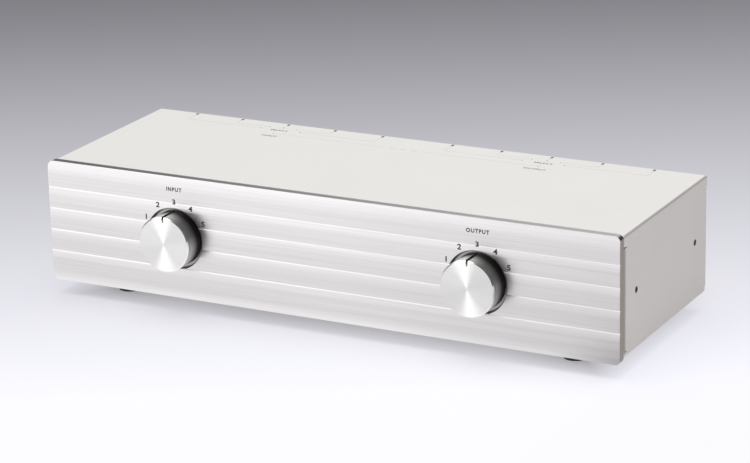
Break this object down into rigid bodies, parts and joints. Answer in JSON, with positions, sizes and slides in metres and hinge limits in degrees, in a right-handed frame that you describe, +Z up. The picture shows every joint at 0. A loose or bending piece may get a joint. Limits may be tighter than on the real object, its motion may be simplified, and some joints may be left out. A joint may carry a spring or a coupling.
{
  "type": "line selector",
  "caption": "Free-standing balanced audio line selector: a ribbed aluminium front with two turning selector knobs, a folded sheet cover, and rows of three-pin round sockets on the rear.",
  "frame": {"origin": "on the surface the unit stands on, under the middle of its box", "axes": "+X to the right as seen from the front, the front faces -Y, +Z up"},
  "size_m": [0.43, 0.1668, 0.097],
  "materials": {
    "face_aluminium": "fine horizontal brushing, clear anodised",
    "knob_aluminium": "turned face with circular brushing",
    "cover_paint": "off-white satin paint",
    "zinc_steel": "zinc plated",
    "black_screw": "black oxide",
    "foot_rubber": "matt black",
    "socket_nickel": "satin nickel",
    "black_insulator": "moulded, matt",
    "contact_brass": "bright plated contacts",
    "latch_steel": "bright steel",
    "deck_phenolic": "brown laminate",
    "cable_jacket": "dark grey cable jacket"
  },
  "bodies": {
    "case": {"front_panel": "face_aluminium", "top_cover": "cover_paint", "chassis_tray": "zinc_steel", "rear_panel": "cover_paint", "cover_screws": "black_screw", "cover_nuts": "zinc_steel", "front_panel_screws": "zinc_steel", "rear_panel_screws": "zinc_steel", "foot_front_left": "foot_rubber", "foot_front_right": "foot_rubber", "foot_rear_left": "foot_rubber", "foot_rear_right": "foot_rubber", "foot_screws": "zinc_steel", "input_shells": "socket_nickel", "input_inserts": "black_insulator", "input_contacts": "contact_brass", "output_shells": "socket_nickel", "output_inserts": "black_insulator", "output_pins": "contact_brass", "socket_screws": "black_screw", "input_bush": "socket_nickel", "input_housing": "zinc_steel", "input_nut": "socket_nickel", "input_washer": "socket_nickel", "input_decks": "deck_phenolic", "input_clips": "contact_brass", "input_spacers": "zinc_steel", "input_tie_screws": "zinc_steel", "output_bush": "socket_nickel", "output_housing": "zinc_steel", "output_nut": "socket_nickel", "output_washer": "socket_nickel", "output_decks": "deck_phenolic", "output_clips": "contact_brass", "output_spacers": "zinc_steel", "output_tie_screws": "zinc_steel", "input_cables": "cable_jacket", "output_cables": "cable_jacket", "link_cables": "cable_jacket"},
    "input_selector": {"input_knob": "knob_aluminium", "input_set_screw": "black_screw", "input_shaft": "zinc_steel", "input_rotors": "black_insulator"},
    "output_selector": {"output_knob": "knob_aluminium", "output_set_screw": "black_screw", "output_shaft": "zinc_steel", "output_rotors": "black_insulator"},
    "latch_body_1_upper": {"input_latch_1_upper": "latch_steel"},
    "latch_body_2_upper": {"input_latch_2_upper": "latch_steel"},
    "latch_body_3_upper": {"input_latch_3_upper": "latch_steel"},
    "latch_body_4_upper": {"input_latch_4_upper": "latch_steel"},
    "latch_body_5_upper": {"input_latch_5_upper": "latch_steel"},
    "latch_body_1_lower": {"input_latch_1_lower": "latch_steel"},
    "latch_body_2_lower": {"input_latch_2_lower": "latch_steel"},
    "latch_body_3_lower": {"input_latch_3_lower": "latch_steel"},
    "latch_body_4_lower": {"input_latch_4_lower": "latch_steel"},
    "latch_body_5_lower": {"input_latch_5_lower": "latch_steel"}
  },
  "joints": [
    {"name": "input_select", "type": "hinge", "parent": "case", "child": "input_selector", "pos_m": [-0.1143, -0.06895, 0.053], "axis": [0, 1, 0], "range_deg": [-60, 60]},
    {"name": "output_select", "type": "hinge", "parent": "case", "child": "output_selector", "pos_m": [0.1143, -0.06895, 0.053], "axis": [0, 1, 0], "range_deg": [-60, 60]},
    {"name": "latch_press_1_upper", "type": "slide", "parent": "case", "child": "latch_body_1_upper", "axis": [0, -1, 0], "range_m": [0, 0.0015], "stiffness_N_per_m": 300},
    {"name": "latch_press_2_upper", "type": "slide", "parent": "case", "child": "latch_body_2_upper", "axis": [0, -1, 0], "range_m": [0, 0.0015], "stiffness_N_per_m": 300},
    {"name": "latch_press_3_upper", "type": "slide", "parent": "case", "child": "latch_body_3_upper", "axis": [0, -1, 0], "range_m": [0, 0.0015], "stiffness_N_per_m": 300},
    {"name": "latch_press_4_upper", "type": "slide", "parent": "case", "child": "latch_body_4_upper", "axis": [0, -1, 0], "range_m": [0, 0.0015], "stiffness_N_per_m": 300},
    {"name": "latch_press_5_upper", "type": "slide", "parent": "case", "child": "latch_body_5_upper", "axis": [0, -1, 0], "range_m": [0, 0.0015], "stiffness_N_per_m": 300},
    {"name": "latch_press_1_lower", "type": "slide", "parent": "case", "child": "latch_body_1_lower", "axis": [0, -1, 0], "range_m": [0, 0.0015], "stiffness_N_per_m": 300},
    {"name": "latch_press_2_lower", "type": "slide", "parent": "case", "child": "latch_body_2_lower", "axis": [0, -1, 0], "range_m": [0, 0.0015], "stiffness_N_per_m": 300},
    {"name": "latch_press_3_lower", "type": "slide", "parent": "case", "child": "latch_body_3_lower", "axis": [0, -1, 0], "range_m": [0, 0.0015], "stiffness_N_per_m": 300},
    {"name": "latch_press_4_lower", "type": "slide", "parent": "case", "child": "latch_body_4_lower", "axis": [0, -1, 0], "range_m": [0, 0.0015], "stiffness_N_per_m": 300},
    {"name": "latch_press_5_lower", "type": "slide", "parent": "case", "child": "latch_body_5_lower", "axis": [0, -1, 0], "range_m": [0, 0.0015], "stiffness_N_per_m": 300}
  ]
}
